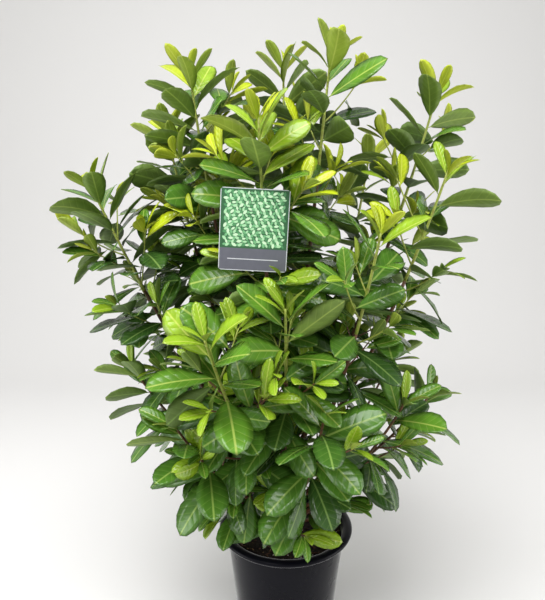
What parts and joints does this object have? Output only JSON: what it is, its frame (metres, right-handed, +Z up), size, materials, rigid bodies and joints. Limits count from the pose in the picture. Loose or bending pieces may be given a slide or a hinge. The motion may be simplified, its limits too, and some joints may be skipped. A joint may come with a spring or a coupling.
{
  "type": "potted cherry laurel",
  "caption": "Evergreen cherry laurel shrub with upright leafy shoots, standing in a round plastic nursery pot, with a hanging card label.",
  "frame": {"origin": "middle of the pot's flat underside", "axes": "+Z up; -Y towards the front, where the label hangs; +X to the right seen from the front"},
  "size_m": [0.9675, 0.8562, 1.4895],
  "materials": {
    "pot": "blue-black injection moulded plastic with a soft sheen",
    "soil": "very dark moist potting compost with bark chips",
    "bark": "thin brown bark",
    "foliage": "glossy leathery evergreen leaves",
    "label": "printed plastic card"
  },
  "bodies": {
    "root": {"pot": "pot", "soil": "soil", "trunk": "bark", "label": "label", "bough_top": "bark", "bough_back_top": "bark", "bough_left_top": "bark", "bough_right_top": "bark", "bough_bright": "bark", "bough_left_upper": "bark", "bough_far_left": "bark", "bough_right": "bark", "bough_front_right": "bark", "bough_front_left": "bark", "bough_front": "bark", "bough_back_right": "bark", "bough_back": "bark", "bough_back_left": "bark", "mass_top": "foliage", "mass_back_top": "foliage", "mass_left_top": "foliage", "mass_right_top": "foliage", "mass_bright": "foliage", "mass_left_upper": "foliage", "mass_far_left": "foliage", "mass_right": "foliage", "mass_front_right": "foliage", "mass_front_left": "foliage", "mass_front": "foliage", "mass_back_right": "foliage", "mass_back": "foliage", "mass_back_left": "foliage", "mass_low_right": "foliage", "mass_low_left": "foliage", "mass_low_front": "foliage", "mass_low_back": "foliage", "mass_low_back_right": "foliage", "mass_low_back_left": "foliage", "mass_low_front_left": "foliage", "mass_low_front_right": "foliage", "mass_skirt_1": "foliage", "mass_skirt_2": "foliage", "mass_skirt_3": "foliage", "mass_skirt_4": "foliage", "mass_skirt_5": "foliage", "mass_skirt_6": "foliage", "mass_skirt_7": "foliage"}
  },
  "joints": []
}
